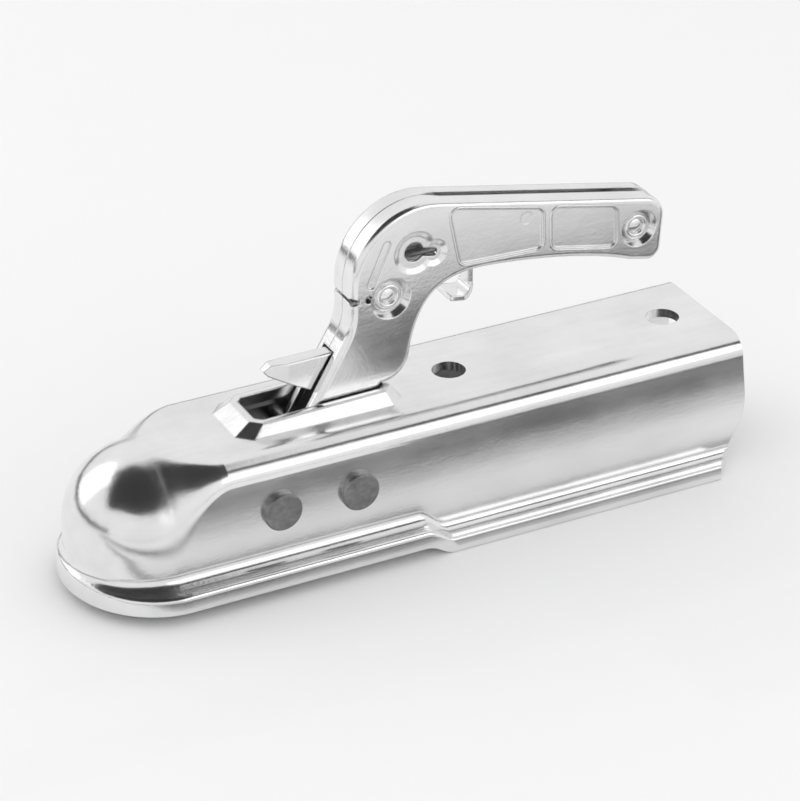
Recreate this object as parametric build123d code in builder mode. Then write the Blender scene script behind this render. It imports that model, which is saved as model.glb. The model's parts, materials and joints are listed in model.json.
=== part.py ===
from build123d import *

import os
from math import acos, atan2, cos, degrees, hypot, radians, sin

os.makedirs("parts", exist_ok=True)

# Trailer coupling head in mm. The origin is the centre of the ball, +X runs back along the drawbar,
# +Z is up, and left is -Y.

# Ball and pressed housing
ball_d = 50.0
ball_play = 0.2
sheet = 3.5
inner_r = ball_d / 2 + ball_play
outer_r = inner_r + sheet
bend_r = 8.0
nose_bend_r = outer_r - 0.35
nose_blend = 21.0
nose_shares = (0.0, 0.36, 0.67, 0.89, 1.0)
top_end = 229.0
housing_end = 232.0
reach = 50.0
mid_z = -1.0

# Flange with its down-turned lip: a deeper front part and a lower rear part with a step between them
flange_half = 36.6
flange_nose_x = 2.5
flange_nose_r = 33.3
front_top = -12.7
front_bottom = -19.5
front_cove = 4.7
front_round = 1.9
rear_top = -18.2
rear_bottom = -23.9
rear_cove = 3.6
rear_round = 1.1
step_start = 94.3
step_end = 104.9
step_shares = (0.0, 0.17, 0.5, 0.83, 1.0)
wall_end_bottom = 222.6
flange_corner_x = 216.3

# Opening for the lever with the drawn collar round it
opening_front = 40.5
opening_rear = 90.8
opening_half = 9.2
opening_cut = 2.3
rim_front = 38.1
rim_rear = 93.3
rim_half = 11.6
rim_cut = 3.6
collar_front = 29.6
collar_rear = 97.3
collar_half = 15.2
collar_cut = 5.8
rim_rise_front = 4.2
rim_rise_rear = 5.2
flare = 2.8

# Bolts to the drawbar
bolt_x = 121.3
bolt_spacing = 90.0
bolt_hole_d = 12.5

# Cross pins
pin_z = 7.2
front_pin_x = 40.3
pin_spacing = 30.1
rear_pin_x = front_pin_x + pin_spacing
pin_r = 5.0
pin_head_r = 7.2
pin_head_proud = 2.4
pin_head_edge = 0.5
running = 0.05
side_play = 0.3
sleeve_r = 7.0

# Hand lever: two pressed halves
lever_half_w = 8.0
lever_sheet = 2.5
lever_bend = 2.2
seam = 0.1
groove_half = 1.9
groove_low = 72.5
front_x = 78.7
grip_top_z0 = 123.4
grip_slope = 0.1975
neck_r = 28.5
grip_end_x = 206.3
grip_end_r = 9.0
foot_dir = (-4.7, -8.0)
foot_run = foot_dir[0] / foot_dir[1]
foot_bend_z = 59.1
foot_bend_r = 22.0
foot_knee_z = 15.4
eye_r = 12.0
nose_r = 3.0
window_half = 4.0
window_top = 49.7
cut_z = 69.2
cut_h = 1.5

# Holes and dents in each half of the lever
keyhole_x = 103.4
keyhole_z = 83.5
keyhole_r = 3.75
slot_w = 3.3
slot_reach = 7.7
slot_deg = -11.8
dish_r = 8.2
small_hole_x = 85.3
small_hole_z = 69.3
small_hole_r = 1.5
dent_top = (92.5, 88.8)
dent_low = (86.2, 74.7)
dent_w = 3.2
dimple_x = 148.3
dimple_z = 86.8
dimple_r = 2.4
dent_depth = 0.9
panel_depth = 0.8
front_panel = ((117.3, 97.2), (154.1, 89.2), (154.5, 73.8), (121.9, 75.0))
rear_panel = ((158.6, 88.6), (184.6, 83.2), (185.2, 67.6), (159.0, 72.8))

# Rivets, latch and springs
latch_x = 93.9
latch_z = 67.8
grip_rivet_x = 194.8
grip_rivet_z = 72.5
rivet_r = 3.05
rivet_ring_r = 4.8
rivet_ring_h = 1.2
dome_r = 5.5
dome_rise = 0.8
recess_depth = 2.9
recess_r = 7.8
grip_recess_r = 7.2
recess_slope = 2.0
recess_wall = 2.2
latch_sheet = 1.8
latch_half = 3.0
pad_half = 7.0
pad_t = 1.9


def channel_top(half, top, radius):
    """Upper part of the channel section, from the wall to the flat top."""
    with BuildLine() as outline:
        side = Line((-half, mid_z), (-half, top - radius))
        left = CenterArc((-half + radius, top - radius), radius, 180, -90)
        Line(left @ 1, (half - radius, top))
        right = CenterArc((half - radius, top - radius), radius, 90, -90)
        Line(right @ 1, (half, mid_z))
        Line((half, mid_z), side @ 0)
    make_face(outline.edges())


def skirt(half, cove, top, low, edge, rounding):
    """Lower part of the section: wall, cove and flange out to an edge, whose top corner is rounded."""
    for side in (1, -1):
        with BuildLine() as outline:
            Line((0, 0), (side * half, 0))
            Line((side * half, 0), (side * half, top + cove))
            centre = (side * (half + cove), top + cove)
            ThreePointArc(
                (side * half, top + cove),
                (centre[0] - side * cove * cos(radians(45)), centre[1] - cove * sin(radians(45))),
                (side * (half + cove), top),
            )
            Line((side * (half + cove), top), (side * (edge - rounding), top))
            if rounding:
                corner = (side * (edge - rounding), top - rounding)
                ThreePointArc(
                    (side * (edge - rounding), top),
                    (corner[0] + side * rounding * cos(radians(45)), corner[1] + rounding * sin(radians(45))),
                    (side * edge, top - rounding),
                )
            Line((side * edge, top - rounding), (side * edge, low))
            Line((side * edge, low), (0, low))
            Line((0, low), (0, 0))
        make_face(outline.edges())


def nose_profile(half, radius, cove, top, low):
    """Half section of the nose, revolved about the ball's axis."""
    with BuildLine() as outline:
        Line((0, low), (reach, low))
        Line((reach, low), (reach, top))
        Line((reach, top), (half + cove, top))
        ThreePointArc(
            (half + cove, top),
            (half + cove - cove * cos(radians(45)), top + cove - cove * sin(radians(45))),
            (half, top + cove),
        )
        Line((half, top + cove), (half, half - radius))
        arc = CenterArc((half - radius, half - radius), radius, 0, 90)
        Line(arc @ 1, (0, half))
        Line((0, half), (0, low))
    make_face(outline.edges())


def plan_outline(inset):
    """Outline of the front flange seen from above."""
    with BuildLine() as outline:
        nose = EllipticalCenterArc(
            (flange_nose_x, 0), flange_nose_r - inset, flange_half - inset, start_angle=90, arc_size=180
        )
        Polyline(
            nose @ 1,
            (step_start, -flange_half + inset),
            (step_start, flange_half - inset),
            nose @ 0,
        )
    make_face(outline.edges())


def octagon(front, rear, half, cut):
    """Rectangle with cut corners round the lever opening."""
    Polygon(
        (front + cut, half), (rear - cut, half), (rear, half - cut), (rear, -half + cut),
        (rear - cut, -half), (front + cut, -half), (front, -half + cut), (front, half - cut),
        align=None,
    )


def body(half, radius_front, radius_rear, grow, low_grow):
    """Channel, dome and flange as one solid; the inner body has the same make with a grown cove."""
    with BuildPart() as shell:
        front = (front_cove + grow, front_top - grow, front_bottom - low_grow)
        rear = (rear_cove + grow, rear_top - grow, rear_bottom - low_grow)
        with BuildSketch(Plane.YZ):
            nose_profile(half, radius_front, *front)
        revolve(axis=Axis.Z, revolution_arc=180)
        with BuildSketch(Plane.YZ):
            skirt(half, *front, reach, 0)
        extrude(amount=step_start)
        with BuildSketch(Plane.XY.offset(front_bottom - low_grow)):
            plan_outline(grow)
        extrude(amount=reach * 2, mode=Mode.INTERSECT)
        if not grow:
            def on_rim(edge):
                point = edge @ 0.5
                if not front_top - 0.01 < point.Z < front_top + front_cove / 2:
                    return False
                if point.X > flange_nose_x:
                    return abs(abs(point.Y) - flange_half) < 0.01
                ratio = ((point.X - flange_nose_x) / flange_nose_r) ** 2 + (point.Y / flange_half) ** 2
                return abs(ratio - 1) < 0.001
            fillet(shell.edges().filter_by(on_rim), radius=front_round)
        for i, share in enumerate(nose_shares):
            with BuildSketch(Plane.YZ.offset(nose_blend * i / (len(nose_shares) - 1))):
                channel_top(half, half, radius_front + (radius_rear - radius_front) * share)
        loft()
        with BuildSketch(Plane.YZ.offset(nose_blend)):
            channel_top(half, half, radius_rear)
        extrude(amount=housing_end - nose_blend)
        edge = flange_half - grow
        front += (edge, 0 if grow else front_round)
        rear += (edge, 0 if grow else rear_round)
        for i, share in enumerate(step_shares):
            station = step_start + (step_end - step_start) * i / (len(step_shares) - 1)
            with BuildSketch(Plane.YZ.offset(station)):
                skirt(half, *(a + (b - a) * share for a, b in zip(front, rear)))
        loft()
        with BuildSketch(Plane.YZ.offset(step_end)):
            skirt(half, *rear)
        extrude(amount=housing_end - step_end)
    return shell.part


outer_body = body(outer_r, nose_bend_r, bend_r, 0, 0)
inner_body = body(inner_r, nose_bend_r - sheet, bend_r - sheet, sheet, sheet)


rim_length = rim_rear - rim_front
rim_plane = Plane(
    origin=(rim_front, 0, outer_r + rim_rise_front),
    x_dir=(rim_length, 0, rim_rise_rear - rim_rise_front),
    z_dir=(rim_rise_front - rim_rise_rear, 0, rim_length),
)

with BuildPart() as housing:
    add(outer_body)
    with BuildSketch(Plane.XY.offset(outer_r - sheet / 2)):
        octagon(collar_front - 0.7, collar_rear + 0.7, collar_half + 0.7, collar_cut)
    with BuildSketch(rim_plane):
        octagon(0, rim_length, rim_half, rim_cut)
    loft(ruled=True)
    rim_edges = housing.edges().filter_by(lambda e: (e @ 0.5).Z > outer_r + rim_rise_front - 0.1)
    fillet(rim_edges, radius=0.7)
    add(inner_body, mode=Mode.SUBTRACT)
    with BuildSketch(Plane.XY.offset(inner_r - sheet)):
        octagon(opening_front, opening_rear, opening_half, opening_cut)
    extrude(amount=reach, mode=Mode.SUBTRACT)
    with BuildSketch(Plane.XY.offset(inner_r - 0.01)):
        octagon(opening_front - flare, opening_rear + flare, opening_half + flare, opening_cut + flare)
    with BuildSketch(Plane.XY.offset(outer_r)):
        octagon(opening_front, opening_rear, opening_half, opening_cut)
    loft(ruled=True, mode=Mode.SUBTRACT)
    with BuildSketch(Plane.XY):
        with Locations((bolt_x, 0), (bolt_x + bolt_spacing, 0)):
            Circle(bolt_hole_d / 2)
    extrude(amount=reach, mode=Mode.SUBTRACT)
    with BuildSketch(Plane.XZ):
        with Locations((front_pin_x, pin_z), (rear_pin_x, pin_z)):
            Circle(pin_r + running)
    extrude(amount=reach, both=True, mode=Mode.SUBTRACT)
    with BuildSketch(Plane.XZ):
        with BuildLine():
            wall_end = Spline(
                (top_end, outer_r - 4), (230.6, 7), (229.9, -4), (226.2, -11.5),
                (wall_end_bottom + 0.6, -19), (wall_end_bottom, rear_bottom - 1),
            )
            Polyline(
                wall_end @ 1, (housing_end + reach, rear_bottom - 1), (housing_end + reach, outer_r + 1),
                (top_end, outer_r + 1), wall_end @ 0,
            )
        make_face()
    extrude(amount=reach, both=True, mode=Mode.SUBTRACT)
    with BuildSketch(Plane.XY.offset(rear_bottom - 1)):
        with BuildLine():
            Polyline(
                (flange_corner_x, flange_half + 1), (flange_corner_x + 1.5, flange_half - 1.5),
                (wall_end_bottom, outer_r + 0.5), (wall_end_bottom + reach, outer_r + 0.5),
                (wall_end_bottom + reach, flange_half + 1), close=True,
            )
        make_face()
        mirror(about=Plane.XZ)
    extrude(amount=rear_cove - rear_bottom + rear_top + 1, mode=Mode.SUBTRACT)
housing.part.label = "housing"
export_step(housing.part, "parts/housing.step")


# Cross pins with a flat head on each side
def cross_pin(x):
    """Shank through both walls and a chamfered head outside each."""
    with BuildPart() as pin:
        with BuildSketch(Plane.XZ):
            with Locations((x, pin_z)):
                Circle(pin_r)
        extrude(amount=outer_r, both=True)
        for side in (1, -1):
            with BuildSketch(Plane.XZ.offset(side * outer_r)):
                with Locations((x, pin_z)):
                    Circle(pin_head_r)
            extrude(amount=side * pin_head_proud)
        faces = pin.faces().filter_by(Axis.Y).filter_by(lambda f: abs(f.center().Y) > outer_r + 1)
        chamfer(faces.edges(), length=pin_head_edge)
    return pin.part


with BuildPart() as front_pin:
    add(cross_pin(front_pin_x))
front_pin.part.label = "front_pin"
export_step(front_pin.part, "parts/front_pin.step")

with BuildPart() as rear_pin:
    add(cross_pin(rear_pin_x))
rear_pin.part.label = "rear_pin"
export_step(rear_pin.part, "parts/rear_pin.step")


# Sleeves on the pins
ear_out = 13.0
ear_in = 9.5


def sleeve(x, start, end):
    """Tube on a cross pin on the left side, from one |Y| to another."""
    with BuildPart() as tube:
        with BuildSketch(Plane.XZ.offset(start)):
            with Locations((x, pin_z)):
                Circle(sleeve_r)
                Circle(pin_r + running, mode=Mode.SUBTRACT)
        extrude(amount=end - start)
    return tube.part


with BuildPart() as rear_sleeve_left:
    add(sleeve(rear_pin_x, lever_half_w + side_play, inner_r))
rear_sleeve_left.part.label = "rear_sleeve_left"
export_step(rear_sleeve_left.part, "parts/rear_sleeve_left.step")

with BuildPart() as rear_sleeve_right:
    mirror(rear_sleeve_left.part, about=Plane.XZ)
rear_sleeve_right.part.label = "rear_sleeve_right"
export_step(rear_sleeve_right.part, "parts/rear_sleeve_right.step")

with BuildPart() as front_sleeve_left:
    add(sleeve(front_pin_x, ear_out + side_play, inner_r))
front_sleeve_left.part.label = "front_sleeve_left"
export_step(front_sleeve_left.part, "parts/front_sleeve_left.step")

with BuildPart() as front_sleeve_right:
    mirror(front_sleeve_left.part, about=Plane.XZ)
front_sleeve_right.part.label = "front_sleeve_right"
export_step(front_sleeve_right.part, "parts/front_sleeve_right.step")


# Jaw that grips the ball from behind and below
jaw_in = ball_d / 2 + 0.3
jaw_t = 3.5
jaw_turn = 70.0
jaw_low = 48.0
boss_r = 9.0
web_x = 49.2
web_t = 2.3
web_top = -2.5
web_low = -15.5
ear_front = jaw_in + 1.2

def jaw_ear():
    """Side plate of the jaw, from its boss on the pin down to the web."""
    with Locations((front_pin_x, pin_z)):
        Circle(boss_r)
    Polygon(
        (ear_front + 5.7, 11), (ear_front, -1), (ear_front - 4, -13), (ear_front - 8, -19.5),
        (ear_front - 2.5, -23), (web_x - 6, web_low - 3),
        (web_x + web_t, web_low), (web_x + web_t, web_top), (web_x, pin_z), align=None,
    )


with BuildPart() as ball_jaw:
    with BuildSketch(Plane.XZ):
        with BuildLine() as cup:
            inside = CenterArc((0, 0), jaw_in, 0, -jaw_low)
            outside = CenterArc((0, 0), jaw_in + jaw_t, 0, -jaw_low)
            Line(inside @ 0, outside @ 0)
            Line(inside @ 1, outside @ 1)
        make_face()
    revolve(axis=Axis.Z, revolution_arc=jaw_turn / 2)
    mirror(ball_jaw.part, about=Plane.XZ)
    for start in (ear_in, -ear_out):
        with BuildSketch(Plane.XZ.offset(start)):
            jaw_ear()
        extrude(amount=ear_out - ear_in)
    with BuildSketch(Plane.YZ.offset(web_x)):
        with Locations((0, (web_top + web_low) / 2)):
            Rectangle(2 * ear_out, web_top - web_low)
    extrude(amount=web_t)
    with BuildSketch(Plane.XZ):
        with Locations((front_pin_x, pin_z)):
            Circle(pin_r + running)
    extrude(amount=reach, both=True, mode=Mode.SUBTRACT)
    with BuildSketch(Plane.XZ):
        with BuildLine():
            ball = CenterArc((0, 0), jaw_in, 90, -180)
            Line(ball @ 1, ball @ 0)
        make_face()
    revolve(axis=Axis.Z, revolution_arc=360, mode=Mode.SUBTRACT)
ball_jaw.part.label = "ball_jaw"
export_step(ball_jaw.part, "parts/ball_jaw.step")


# Springs wound from round wire
def coil(x, z, mean_r, wire, start_y, start_deg, turns, first_leg, last_leg):
    """Torsion spring about a cross axis, wound towards the left, with a straight leg at each end."""
    pitch = wire * 1.12
    with BuildPart() as wound:
        with BuildLine() as path:
            wind = Helix(pitch, pitch * turns, mean_r)
            Line(wind @ 1, wind @ 1 + (wind % 1) * last_leg)
        with BuildSketch(Plane(origin=wind @ 0, z_dir=wind % 0)) as section:
            RegularPolygon(wire / 2, 8)
        sweep(path=path.edges(), is_frenet=True)
        extrude(section.sketch, amount=-first_leg)
    turned = (cos(radians(start_deg)), 0, sin(radians(start_deg)))
    return wound.part.moved(Plane(origin=(x, start_y, z), x_dir=turned, z_dir=(0, -1, 0)).location)


jaw_coil_r = 8.6
jaw_wire = 1.8
jaw_coil_y = ear_out + 1.1 + (inner_r - ear_out - 7.8) / 4
jaw_leg_first = inner_r - 9.2
jaw_leg_last = 2 * (inner_r - 17.95)

with BuildPart() as jaw_spring_left:
    add(coil(
        front_pin_x, pin_z, jaw_coil_r, jaw_wire, -jaw_coil_y, 0, 3.125, jaw_leg_first, jaw_leg_last
    ))
jaw_spring_left.part.label = "jaw_spring_left"
export_step(jaw_spring_left.part, "parts/jaw_spring_left.step")

with BuildPart() as jaw_spring_right:
    mirror(jaw_spring_left.part, about=Plane.XZ)
jaw_spring_right.part.label = "jaw_spring_right"
export_step(jaw_spring_right.part, "parts/jaw_spring_right.step")

# Bush between the lever halves, with the closing spring round it
bush_r = 7.0
lever_wire = 1.6
lever_leg = 4 * (inner_r - 17.2)
plate_in = lever_half_w - lever_sheet

with BuildPart() as lever_bush:
    with BuildSketch(Plane.XZ):
        with Locations((rear_pin_x, pin_z)):
            Circle(bush_r)
            Circle(pin_r + running, mode=Mode.SUBTRACT)
    extrude(amount=plate_in, both=True)
lever_bush.part.label = "lever_bush"
export_step(lever_bush.part, "parts/lever_bush.step")

with BuildPart() as lever_spring:
    add(coil(
        rear_pin_x, pin_z, bush_r + 0.4 + lever_wire / 2, lever_wire, 3.6, 105, 4.1, lever_leg, 6
    ))
lever_spring.part.label = "lever_spring"
export_step(lever_spring.part, "parts/lever_spring.step")


# Hand lever
foot_len = hypot(*foot_dir)
knee_x = front_x - (foot_bend_z - foot_knee_z) * foot_run
grip_end_z = 57.2
cam_x = web_x + web_t + side_play + nose_r
cam_z = -6.5


def grip_top(x):
    """Height of the straight top line of the grip."""
    return grip_top_z0 - grip_slope * x


def lever_outline():
    """Side outline of the lever, from the knee of the foot over the neck and grip to the rear of the foot."""
    with BuildLine() as outline:
        front = FilletPolyline(
            (knee_x, foot_knee_z),
            (front_x, foot_bend_z),
            (front_x, grip_top(front_x)),
            (grip_end_x, grip_top(grip_end_x)),
            (grip_end_x - 1.8, grip_end_z),
            (192.0, 59.9),
            radius=(foot_bend_r, neck_r, grip_end_r, 5.0),
        )
        under = Spline(
            front @ 1, (173.7, 65.4), (150.0, 69.5), (134.0, 71.0), (122.0, 70.6), (110.6, 65.2),
            (105.2, 56.8),
            (102.4, 47.5), (100.6, 40.6), (97.4, 36.6), (91.4, 34.3),
        )
        Polyline(
            under @ 1, (90.2, 34.3), (rear_pin_x + eye_r, 20.0), (rear_pin_x + eye_r, pin_z),
        )
        eye = CenterArc((rear_pin_x, pin_z), eye_r, 0, -115)
        Polyline(
            eye @ 1, (cam_x + 1.0, cam_z - nose_r), (cam_x, cam_z - nose_r),
        )
        nose = CenterArc((cam_x, cam_z), nose_r, -90, -90)
        Polyline(nose @ 1, (cam_x - nose_r, 2.0), (knee_x, foot_knee_z))
    make_face(outline.edges())


def cone(x, z, from_y, from_r, to_y, to_r):
    """Truncated cone on a cross axis on the left side, between two values of |Y|."""
    with BuildPart() as frustum:
        with BuildSketch(Plane.XZ.offset(from_y)):
            with Locations((x, z)):
                Circle(from_r)
        with BuildSketch(Plane.XZ.offset(to_y)):
            with Locations((x, z)):
                Circle(to_r)
        loft()
    return frustum.part


with BuildPart() as lever_half_left:
    with BuildSketch(Plane.XZ.offset(seam)):
        lever_outline()
    extrude(amount=lever_half_w - seam)
    side_face = lever_half_left.faces().filter_by(Axis.Y).sort_by(Axis.Y)[0]
    fillet(side_face.edges(), radius=lever_bend)
    with BuildSketch(Plane.XZ):
        lever_outline()
        offset(amount=-lever_sheet)
    extrude(amount=plate_in, mode=Mode.SUBTRACT)
    foot_in_x = knee_x + lever_sheet * foot_len / -foot_dir[1]
    with BuildSketch(Plane.XZ):
        Polygon(
            (198, -30), (198, 65), (188, 65), (174, 69.5), (150, 73.5), (122, 75), (107, 68), (101, 58),
            (97, 44),
            (foot_in_x + 25 * foot_run, foot_knee_z + 25), (foot_in_x, foot_knee_z), (foot_in_x, 13),
            (40, 13), (40, -30),
            align=None,
        )
    extrude(amount=plate_in, mode=Mode.SUBTRACT)
    with BuildSketch(Plane.XY.offset(groove_low)):
        Polygon((108.5, 0), (116, -groove_half), (215, -groove_half), (215, 0), align=None)
    extrude(amount=40, mode=Mode.SUBTRACT)
    with BuildSketch(Plane.XY.offset(-30)):
        Polygon((40, 0), (85, 0), (85, -window_half), (40, -window_half), align=None)
    extrude(amount=window_top + 30, mode=Mode.SUBTRACT)
    with BuildSketch(Plane.YZ.offset(front_x - 3)):
        with Locations((-(lever_half_w - 1) / 2, cut_z)):
            Rectangle(lever_half_w - 1, cut_h)
        with Locations((-lever_half_w + 1.3, cut_z)):
            Circle(cut_h)
    extrude(amount=6, mode=Mode.SUBTRACT)
    recess_floor = lever_half_w - recess_depth
    for x, z, r in ((latch_x, latch_z, recess_r), (grip_rivet_x, grip_rivet_z, grip_recess_r)):
        add(cone(x, z, plate_in + 0.3, r + 1.2, plate_in - recess_wall, r - 0.6))
        add(cone(x, z, lever_half_w, r, recess_floor, r - recess_slope), mode=Mode.SUBTRACT)
    dish_floor = lever_half_w - dent_depth
    slot_end_x = keyhole_x + slot_reach * cos(radians(slot_deg))
    slot_end_z = keyhole_z + slot_reach * sin(radians(slot_deg))
    for x, z, r in ((keyhole_x, keyhole_z, dish_r), (slot_end_x, slot_end_z, dish_r - 3)):
        add(cone(x, z, lever_half_w, r, dish_floor, r - recess_slope), mode=Mode.SUBTRACT)
    with BuildSketch(Plane.XZ):
        with Locations((rear_pin_x, pin_z)):
            Circle(pin_r + running)
        with Locations((latch_x, latch_z), (grip_rivet_x, grip_rivet_z)):
            Circle(rivet_r + running)
        with Locations((small_hole_x, small_hole_z)):
            Circle(small_hole_r)
        with Locations(Location((keyhole_x, keyhole_z), slot_deg)):
            Circle(keyhole_r)
            with Locations((slot_reach / 2, 0)):
                SlotCenterToCenter(slot_reach, slot_w)
    extrude(amount=lever_half_w, mode=Mode.SUBTRACT)
    with BuildSketch(Plane.XZ.offset(lever_half_w)):
        with Locations((dimple_x, dimple_z)):
            Circle(dimple_r)
        rise = (dent_top[0] - dent_low[0], dent_top[1] - dent_low[1])
        with Locations((dent_low[0] + rise[0] / 2, dent_low[1] + rise[1] / 2)):
            SlotCenterToCenter(hypot(*rise), dent_w, rotation=degrees(atan2(rise[1], rise[0])))
    extrude(amount=-dent_depth, mode=Mode.SUBTRACT)
    with BuildSketch(Plane.XZ.offset(lever_half_w)) as panels:
        Polygon(*front_panel, align=None)
        Polygon(*rear_panel, align=None)
        fillet(panels.vertices(), radius=1.8)
    extrude(amount=-panel_depth, mode=Mode.SUBTRACT)
lever_half_left.part.label = "lever_half_left"
export_step(lever_half_left.part, "parts/lever_half_left.step")

with BuildPart() as lever_half_right:
    mirror(lever_half_left.part, about=Plane.XZ)
lever_half_right.part.label = "lever_half_right"
export_step(lever_half_right.part, "parts/lever_half_right.step")


# Latch: beak, arm and finger trigger of one folded sheet, turning on its rivet in the lever
leg_x = 128.2
pad_front = leg_x - 11.5
pad_z = 60.2
hub_r = 6.2
arm_top = 76.7
leg_top = arm_top - pad_t
beak_z = 49.0
beak_rear = 76.5
tip = (46.9, 46.9)
tip_low = (48.6, 44.8)

with BuildPart() as latch:
    with BuildSketch(Plane.XZ.offset(latch_half - latch_sheet)):
        with BuildLine():
            Polyline(
                tip_low, tip, (49.8, beak_z - 0.1), (beak_rear, beak_z + 0.1), (80.5, 52.5), (87.0, 66.0),
                (latch_x - 2.5, 75.6), (latch_x + 3, arm_top), (leg_x, arm_top), (leg_x, arm_top - 3.8),
                (latch_x + hub_r, 70.5), (latch_x + 5.5, 66.0), (75.5, 43.2), (68.6, 43.0), (64.6, 36.2),
                (62.4, 37.2), close=True,
            )
        make_face()
    extrude(amount=latch_sheet)
    mirror(latch.part, about=Plane.XZ)
    with BuildSketch(Plane.XZ):
        Polygon(
            tip, (49.8, beak_z - 0.1), (beak_rear, beak_z + 0.1), (beak_rear, beak_z + 0.1 - latch_sheet),
            (51.0, beak_z - 0.1 - latch_sheet), tip_low, align=None,
        )
    extrude(amount=latch_half, both=True)
    beak_edges = latch.edges().filter_by(
        lambda e: abs((e @ 0.5).Z - beak_z) < 0.3 and (e @ 0.5).X < beak_rear
        and abs((e @ 0.5).Y) > latch_half - 0.01
    )
    fillet(beak_edges, radius=0.9)
    with BuildSketch(Plane.XY.offset(30)):
        Polygon((40, 1.3), (46.0, 1.3), (56, latch_half), (56, 8), (40, 8), align=None)
        mirror(about=Plane.XZ)
    extrude(amount=30, mode=Mode.SUBTRACT)
    with BuildSketch(Plane.XZ):
        with BuildLine() as strip:
            FilletPolyline(
                (leg_x - 6.9, leg_top), (leg_x, leg_top), (leg_x, pad_z - 0.3),
                (pad_front + 1.6, pad_z + 1.3), radius=(2.5, 3.0),
            )
        trace(line_width=pad_t)
    extrude(amount=latch_half, both=True)
    with BuildSketch(Plane.XY.offset(pad_z - 5)) as pad:
        Polygon(
            (pad_front, -pad_half), (pad_front, pad_half), (leg_x - 4.4, pad_half),
            (leg_x + 0.9, latch_half + 0.5), (leg_x + 0.9, -latch_half - 0.5), (leg_x - 4.4, -pad_half),
            align=None,
        )
        fillet(pad.vertices().sort_by(Axis.X)[:2], radius=3.0)
        fillet(pad.vertices().sort_by(Axis.X)[-4:-2], radius=2.0)
    with BuildSketch(Plane.XZ.offset(-pad_half)) as pad_side:
        with BuildLine():
            FilletPolyline(
                (leg_x, pad_z + 5), (leg_x, pad_z - 0.3), (pad_front + 1.6, pad_z + 1.3), radius=3.0
            )
        trace(line_width=pad_t)
    pad_strip = extrude(pad_side.sketch, amount=pad_half * 2, mode=Mode.PRIVATE)
    pad_plan = extrude(pad.sketch, amount=8.5, mode=Mode.PRIVATE)
    add(pad_strip & pad_plan)
    with BuildSketch(Plane.XZ):
        with Locations((latch_x, latch_z)):
            Circle(rivet_r + running)
    extrude(amount=latch_half, both=True, mode=Mode.SUBTRACT)
latch.part.label = "latch"
export_step(latch.part, "parts/latch.step")

latch_wire = 0.6

with BuildPart() as latch_spring:
    add(coil(latch_x, latch_z, rivet_r + 0.3 + latch_wire / 2, latch_wire, 0.5, 90, 1.4, 8, 9))
latch_spring.part.label = "latch_spring"
export_step(latch_spring.part, "parts/latch_spring.step")


# Rivets through both halves, with a rolled ring on the floor of each recess
def formed_rivet(x, z):
    """Rivet with a rolled ring and a low dome inside it at each end."""
    floor = lever_half_w - recess_depth
    with BuildPart() as rivet:
        with BuildSketch(Plane.YZ):
            with BuildLine():
                shank = Polyline((0, 0), (0, rivet_r), (floor, rivet_r), (floor, rivet_ring_r))
                turn = degrees(acos(1 - dome_rise / dome_r))
                dome = CenterArc((floor + dome_rise - dome_r, 0), dome_r, 0, turn)
                crest = (floor + rivet_ring_h, ((dome @ 1).Y + rivet_ring_r) / 2)
                ThreePointArc(shank @ 1, crest, dome @ 1)
                Line(dome @ 0, shank @ 0)
            make_face()
        revolve(axis=Axis.Y)
        mirror(about=Plane.XZ)
    return rivet.part.moved(Location((x, 0, z)))


with BuildPart() as latch_rivet:
    add(formed_rivet(latch_x, latch_z))
latch_rivet.part.label = "latch_rivet"
export_step(latch_rivet.part, "parts/latch_rivet.step")

with BuildPart() as grip_rivet:
    add(formed_rivet(grip_rivet_x, grip_rivet_z))
grip_rivet.part.label = "grip_rivet"
export_step(grip_rivet.part, "parts/grip_rivet.step")

with BuildPart() as grip_bush:
    with BuildSketch(Plane.XZ):
        with Locations((grip_rivet_x, grip_rivet_z)):
            Circle(rivet_ring_r + 0.4)
            Circle(rivet_r + running, mode=Mode.SUBTRACT)
    extrude(amount=plate_in - recess_wall, both=True)
grip_bush.part.label = "grip_bush"
export_step(grip_bush.part, "parts/grip_bush.step")
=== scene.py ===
import json
import math

import bpy
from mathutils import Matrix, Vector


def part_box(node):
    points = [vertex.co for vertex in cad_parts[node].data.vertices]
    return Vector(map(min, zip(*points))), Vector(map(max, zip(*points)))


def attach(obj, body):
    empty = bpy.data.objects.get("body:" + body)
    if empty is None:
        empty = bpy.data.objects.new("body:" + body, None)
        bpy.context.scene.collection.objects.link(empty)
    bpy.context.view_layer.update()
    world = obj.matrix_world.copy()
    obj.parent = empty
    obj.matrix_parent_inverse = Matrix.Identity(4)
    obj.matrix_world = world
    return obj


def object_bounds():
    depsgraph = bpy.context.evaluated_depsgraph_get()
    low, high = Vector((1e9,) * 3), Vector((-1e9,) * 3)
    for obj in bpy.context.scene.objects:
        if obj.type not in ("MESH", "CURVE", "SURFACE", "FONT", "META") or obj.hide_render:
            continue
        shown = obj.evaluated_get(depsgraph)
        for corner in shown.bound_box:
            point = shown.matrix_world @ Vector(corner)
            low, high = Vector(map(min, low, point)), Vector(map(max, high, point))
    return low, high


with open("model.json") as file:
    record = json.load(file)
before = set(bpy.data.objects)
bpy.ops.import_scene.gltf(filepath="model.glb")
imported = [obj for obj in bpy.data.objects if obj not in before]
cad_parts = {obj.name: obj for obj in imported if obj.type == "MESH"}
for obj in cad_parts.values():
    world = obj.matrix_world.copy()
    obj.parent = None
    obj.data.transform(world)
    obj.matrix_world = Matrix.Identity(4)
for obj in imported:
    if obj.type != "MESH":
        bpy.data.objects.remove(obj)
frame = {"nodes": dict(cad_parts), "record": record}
cad_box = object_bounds()
mm = 0.001


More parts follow.
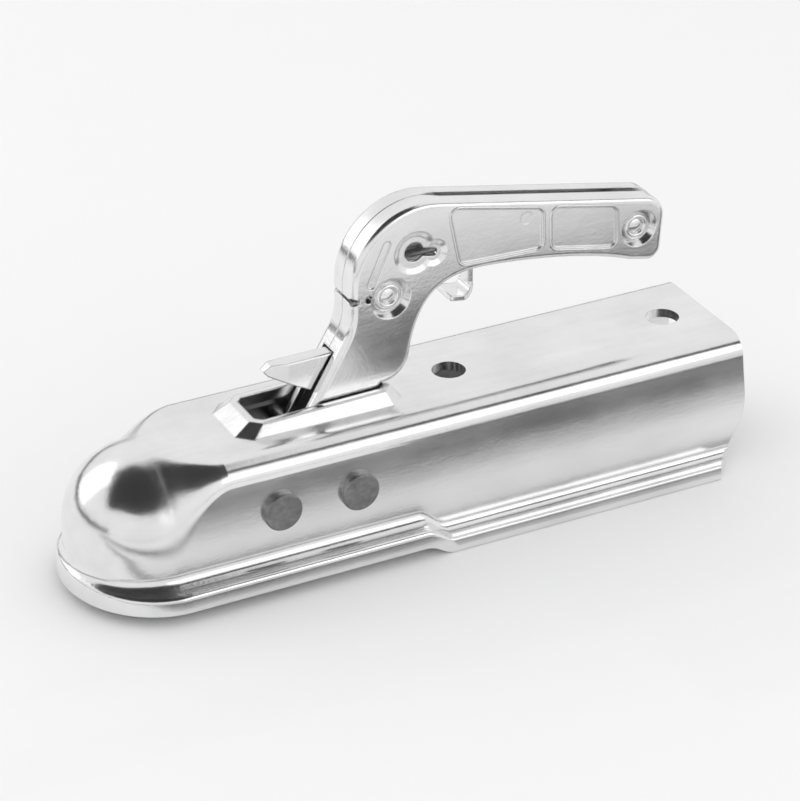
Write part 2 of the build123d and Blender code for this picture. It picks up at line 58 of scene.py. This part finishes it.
class Socket:
    """A shader value: its operators add Math nodes to the tree it belongs to."""

    def __init__(self, tree, socket):
        self.tree = tree
        self.socket = socket

    def _math(self, operation, *values):
        node = self.tree.nodes.new("ShaderNodeMath")
        node.operation = operation
        for slot, value in zip(node.inputs, values):
            if isinstance(value, Socket):
                self.tree.links.new(value.socket, slot)
            else:
                slot.default_value = value
        return Socket(self.tree, node.outputs[0])

    def __add__(self, other):
        return self._math("ADD", self, other)

    def __radd__(self, other):
        return self._math("ADD", other, self)

    def __sub__(self, other):
        return self._math("SUBTRACT", self, other)

    def __rsub__(self, other):
        return self._math("SUBTRACT", other, self)

    def __mul__(self, other):
        return self._math("MULTIPLY", self, other)

    def __rmul__(self, other):
        return self._math("MULTIPLY", other, self)

    def __truediv__(self, other):
        return self._math("DIVIDE", self, other)

    def __abs__(self):
        return self._math("ABSOLUTE", self)

    def at_least(self, other):
        return self._math("MAXIMUM", self, other)

    def below(self, other):
        return self._math("LESS_THAN", self, other)


class Finish:
    """A material whose nodes are added by one method, around a Principled shader."""

    def __init__(self, name, **constants):
        self.material = bpy.data.materials.new(name)
        self.material.use_nodes = True
        self.tree = self.material.node_tree
        self.shader = self.tree.nodes["Principled BSDF"]
        for key, value in constants.items():
            self.shader.inputs[key.replace("_", " ")].default_value = value
        self.place = self.node("ShaderNodeTexCoord", {}, {}, "Object")

    def node(self, kind, settings, sockets, output=0):
        made = self.tree.nodes.new(kind)
        for key, value in settings.items():
            if key == "stops":
                ramp = made.color_ramp
                while len(ramp.elements) < len(value):
                    ramp.elements.new(0.5)
                for element, (position, colour) in zip(ramp.elements, value):
                    element.position = position
                    element.color = (*colour, 1.0)
            else:
                setattr(made, key, value)
        for key, value in sockets.items():
            if isinstance(value, Socket):
                self.tree.links.new(value.socket, made.inputs[key])
            else:
                made.inputs[key].default_value = value
        return Socket(self.tree, made.outputs[output])

    def noise(self, scale, detail=3.0, rough=0.55, stretch=(1, 1, 1)):
        place = self.node(
            "ShaderNodeVectorMath", {"operation": "MULTIPLY"}, {0: self.place, 1: stretch}
        )
        return self.node(
            "ShaderNodeTexNoise", {},
            {"Vector": place, "Scale": scale, "Detail": detail, "Roughness": rough},
        )

    def ramp(self, value, *stops):
        return self.node("ShaderNodeValToRGB", {"stops": stops}, {"Fac": value})

    def along(self, axis):
        """Place in the CAD frame along X, Y or Z, in metres."""
        return self.node("ShaderNodeSeparateXYZ", {}, {"Vector": self.place}, axis)

    def set(self, **links):
        for key, value in links.items():
            self.tree.links.new(value.socket, self.shader.inputs[key.replace("_", " ")])

    def bump(self, height, strength, distance, soft_edge=0.0):
        """Fine relief over a surface whose edges look rounded by the radius soft_edge."""
        base = self.node("ShaderNodeBevel", {"samples": 6}, {"Radius": soft_edge})
        self.set(
            Normal=self.node(
                "ShaderNodeBump", {},
                {"Height": height, "Strength": strength, "Distance": distance, "Normal": base},
            )
        )


def grey(value):
    return (value, value, value)


# Finishes
sheet_softness = 0.7 * mm
bend_softness = 0.2 * mm
steel_softness = 0.35 * mm
collar_softness = 1.1 * mm
collar_middle = 63 * mm
collar_half_length = 40 * mm
collar_half_width = 16.5 * mm
dome_softness = 10 * mm
dome_reach = 12 * mm
dome_depth = 2 * mm


def housing_softness(look):
    """Rounding of the housing's edges: wide where the dome meets the channel, less on the collar."""
    above_flange = (0.0 - look.along("Z")).below(dome_depth)
    near_dome = (1.0 - abs(look.along("X")) / dome_reach).at_least(0.0) * above_flange
    along_collar = abs(look.along("X") - collar_middle).below(collar_half_length)
    on_collar = along_collar * abs(look.along("Y")).below(collar_half_width)
    return near_dome * dome_softness + on_collar * collar_softness + bend_softness


def zinc_plating(name, streak_scale, of_housing=False):
    """Bright zinc on pressed sheet: soft clouding, drawn streaks and faint handling marks."""
    look = Finish(name, Metallic=1.0)
    clouds = look.noise(38, 4.0)
    streaks = look.noise(streak_scale, 3.0, 0.6, stretch=(0.16, 1, 1))
    marks = look.noise(900, 2.0)
    waves = look.noise(70, 2.0, 0.4)
    look.set(
        Base_Color=look.ramp(
            clouds * 0.6 + streaks * 0.4, (0.3, grey(0.76)), (0.5, grey(0.84)), (0.7, grey(0.91))
        ),
        Roughness=clouds * 0.1 + streaks * 0.08 + 0.1,
    )
    edge = housing_softness(look) if of_housing else sheet_softness
    relief = streaks * 0.4 + marks * 0.3 + waves * 1.2
    look.bump(relief, strength=0.12, distance=0.6 * mm, soft_edge=edge)
    return look.material


def plain_steel():
    """Darker bare steel of the pins and jaw, mottled and faintly grained."""
    look = Finish("pin_steel", Metallic=1.0)
    clouds = look.noise(90, 4.0)
    mottle = look.noise(420, 3.0)
    grain = look.noise(1500, 2.0)
    look.set(
        Base_Color=look.ramp(
            clouds * 0.5 + mottle * 0.5, (0.3, grey(0.2)), (0.5, grey(0.28)), (0.7, grey(0.39))
        ),
        Roughness=clouds * 0.2 + 0.28,
    )
    relief = grain * 0.6 + mottle * 0.8
    look.bump(relief, strength=0.25, distance=0.4 * mm, soft_edge=steel_softness)
    return look.material


def spring_wire():
    """Dark drawn spring wire."""
    look = Finish("spring_steel", Metallic=1.0)
    clouds = look.noise(300, 3.0)
    look.set(
        Base_Color=look.ramp(clouds, (0.3, grey(0.16)), (0.7, grey(0.26))),
        Roughness=clouds * 0.2 + 0.28,
    )
    look.bump(clouds, strength=0.1, distance=0.2 * mm)
    return look.material


zinc = zinc_plating("zinc", 160)
finishes = {"zinc": zinc, "pin_steel": plain_steel(), "spring_steel": spring_wire()}
for part in frame["record"]["subparts"]:
    node = frame["nodes"][part["node"]]
    node.data.materials.clear()
    node.data.materials.append(finishes[part["material_slot"]])
housing = frame["nodes"]["housing"]
housing.data.materials[0] = zinc_plating("housing_zinc", 120, of_housing=True)


# Beads pressed round the two panels of each lever half
bead_half = 0.55 * mm
bead_height = 0.32 * mm
bead_gap = 0.35 * mm
bead_sunk = 0.05 * mm
bead_steps = 8
corner_r = 2.6 * mm
corner_steps = 8
panels = {
    "front_panel": ((117.3, 97.2), (154.1, 89.2), (154.5, 73.8), (121.9, 75.0)),
    "rear_panel": ((158.6, 88.6), (184.6, 83.2), (185.2, 67.6), (159.0, 72.8)),
}


def direction(start, end):
    along = (end[0] - start[0], end[1] - start[1])
    return [v / math.hypot(*along) for v in along]


def rounded_loop(corners, radius):
    """Points round a closed outline with rounded corners, each with its outward direction."""
    loop = []
    for i, corner in enumerate(corners):
        to_last = direction(corner, corners[i - 1])
        to_next = direction(corner, corners[(i + 1) % len(corners)])
        opening = math.acos(to_last[0] * to_next[0] + to_last[1] * to_next[1])
        inward = (to_last[0] + to_next[0], to_last[1] + to_next[1])
        reach = radius / math.sin(opening / 2) / math.hypot(*inward)
        centre = (corner[0] + inward[0] * reach, corner[1] + inward[1] * reach)
        outward = math.atan2(-inward[1], -inward[0])
        half_turn = (math.pi - opening) / 2
        for k in range(corner_steps + 1):
            angle = outward + half_turn * (1 - 2 * k / corner_steps)
            out = (math.cos(angle), math.sin(angle))
            loop.append(((centre[0] + out[0] * radius, centre[1] + out[1] * radius), out))
    return loop


def bead(name, corners, face_y):
    """Low half-round bead just outside an outline on the side face of a lever half."""
    side = 1 if face_y > 0 else -1
    loop = rounded_loop([(x * mm, z * mm) for x, z in corners], corner_r)
    points = []
    for (x, z), out in loop:
        for k in range(bead_steps + 1):
            angle = math.pi * k / bead_steps
            across = bead_gap + bead_half * (1 - math.cos(angle))
            lift = bead_height * math.sin(angle) - bead_sunk
            points.append((x + out[0] * across, face_y + side * lift, z + out[1] * across))
    rows = len(loop)
    ring = bead_steps + 1
    faces = []
    for i in range(rows):
        a = i * ring
        b = ((i + 1) % rows) * ring
        for k in range(ring):
            after = (k + 1) % ring
            quad = (a + k, a + after, b + after, b + k)
            faces.append(quad if side > 0 else quad[::-1])
    mesh = bpy.data.meshes.new(name)
    mesh.from_pydata(points, [], faces)
    mesh.shade_smooth()
    piece = bpy.data.objects.new(name, mesh)
    bpy.context.collection.objects.link(piece)
    piece.data.materials.append(zinc)
    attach(piece, "lever")


lever_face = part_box("lever_half_left")[0][1]
for panel, corners in panels.items():
    bead(panel + "_bead_left", corners, lever_face)
    bead(panel + "_bead_right", corners, -lever_face)


# Floor, world and studio light
def matt(name, level):
    """Matt studio surface of one tone, with faint unevenness."""
    look = Finish(name)
    fibre = look.noise(30, 2.0)
    look.set(
        Base_Color=look.ramp(fibre, (0.0, grey(level * 0.99)), (1.0, grey(level))),
        Roughness=fibre * 0.02 + 0.9,
    )
    return look.material


def surface(name, corners, level):
    mesh = bpy.data.meshes.new(name)
    mesh.from_pydata(corners, [], [range(len(corners))])
    made = bpy.data.objects.new(name, mesh)
    bpy.context.collection.objects.link(made)
    made.data.materials.append(matt(name, level))
    return made


def flag(name, level, corners):
    """Darker studio board that the bright plating reflects; nothing else sees it."""
    board = surface(name, corners, level)
    board.visible_camera = False
    board.visible_shadow = False
    board.visible_diffuse = False


def level_flag(name, level, height, *corners):
    """Board lying level at a height."""
    flag(name, level, [(x, y, height) for x, y in corners])


def table_strip(name, level, far, near, left=-0.5, right=0.8):
    """Strip on the table in front of the part, between two distances from its middle plane; only
    reflections see it, as painted shade.
    """
    level_flag(
        name, level, floor_z + strip_lift, (left, -far), (right, -far), (right, -near), (left, -near)
    )


def upright_flag(name, level, start, end):
    """Low board standing on the table between two points."""
    flag(name, level, [(*start, board_low), (*end, board_low), (*end, board_high), (*start, board_high)])


floor_z = cad_box[0][2] - 0.2 * mm
half_floor = 6.0
floor_tone = 0.97
dark = 0.03
strip_lift = 0.3 * mm
boom_height = 0.8
board_low = 0.01
board_high = 0.15
step_x = 0.108
surface(
    "floor",
    [
        (x * half_floor, y * half_floor, floor_z)
        for x, y in ((-1, -1), (1, -1), (1, 1), (-1, 1))
    ],
    floor_tone,
)

world = bpy.data.worlds.new("studio")
bpy.context.scene.world = world
world.use_nodes = True
world.node_tree.nodes["Background"].inputs["Color"].default_value = (0.94, 0.94, 0.94, 1)
world.node_tree.nodes["Background"].inputs["Strength"].default_value = 0.96

# A dark ceiling that the dome shows, a bar for the line along the bend, and two boards for the far edges
level_flag(
    "ceiling", dark, boom_height,
    (0.30, 0.05), (0.03, 0.32), (-0.31, 0.41), (-1.36, -0.10), (-0.59, -1.13), (0.31, -1.32),
)
level_flag("bar", dark, boom_height, (0.25, -0.69), (0.25, -0.42), (1.9, -0.42), (1.9, -0.69))
upright_flag("back_board", dark, (-1.3, 1.3), (1.9, 1.3))
upright_flag("left_board", dark, (-1.5, -0.5), (-1.3, 1.3))

# Darker boards just above the table that only the plating reflects, each named after what shows it:
# painted shade in the reflections, for the table's shade next to the part and for darker surroundings
# further out
table_strip("front_lip_shade", 0.1, 0.0535, 0.0490, right=step_x)
table_strip("front_lip_shade_soft", 0.45, 0.0490, 0.0460, right=step_x)
table_strip("rear_lip_shade", 0.2, 0.0455, 0.0425, left=step_x)
table_strip("rear_lip_shade_soft", 0.6, 0.0425, 0.0400, left=step_x)
table_strip("wall_shade_soft", 0.6, 0.080, 0.070)
table_strip("wall_shade", 0.1, 0.104, 0.081)
table_strip("neck_shade", dark, 0.165, 0.110, left=0.138)
table_strip("grip_shade", 0.72, 0.215, 0.160, left=0.2)
table_strip("table_far", 0.05, 0.45, 0.37)


def soft_box(name, place, aim, width, height, power):
    """Rectangular studio lamp aimed at a point."""
    lamp = bpy.data.lights.new(name, "AREA")
    lamp.shape = "RECTANGLE"
    lamp.size = width
    lamp.size_y = height
    lamp.energy = power
    holder = bpy.data.objects.new(name, lamp)
    bpy.context.collection.objects.link(holder)
    away = [a - p for a, p in zip(aim, place)]
    flat = math.hypot(away[0], away[1])
    holder.location = place
    holder.rotation_euler = (math.atan2(flat, -away[2]), 0, math.atan2(-away[0], away[1]))


middle = (0.1, 0, 0.04)
soft_box("front_light", (0.52, -0.80, 0.45), middle, 0.9, 0.42, 0.9)
soft_box("left_light", (-0.50, 0.60, 0.50), middle, 0.6, 0.8, 0.9)

# Camera at the photograph's angle
elevation = 29.2
azimuth = 27.26
picture_width = 800
focal_pixels = 3418.4
lens = bpy.data.cameras.new("photo_camera")
lens.sensor_fit = "HORIZONTAL"
lens.sensor_width = 36.0
lens.lens = lens.sensor_width * focal_pixels / picture_width
camera = bpy.data.objects.new("photo_camera", lens)
bpy.context.collection.objects.link(camera)
camera.location = (-0.39106, -0.95598, 0.62204)
camera.rotation_euler = (math.radians(90 - elevation), 0, math.radians(-azimuth))
bpy.context.scene.camera = camera
bpy.context.scene.view_settings.view_transform = "Standard"
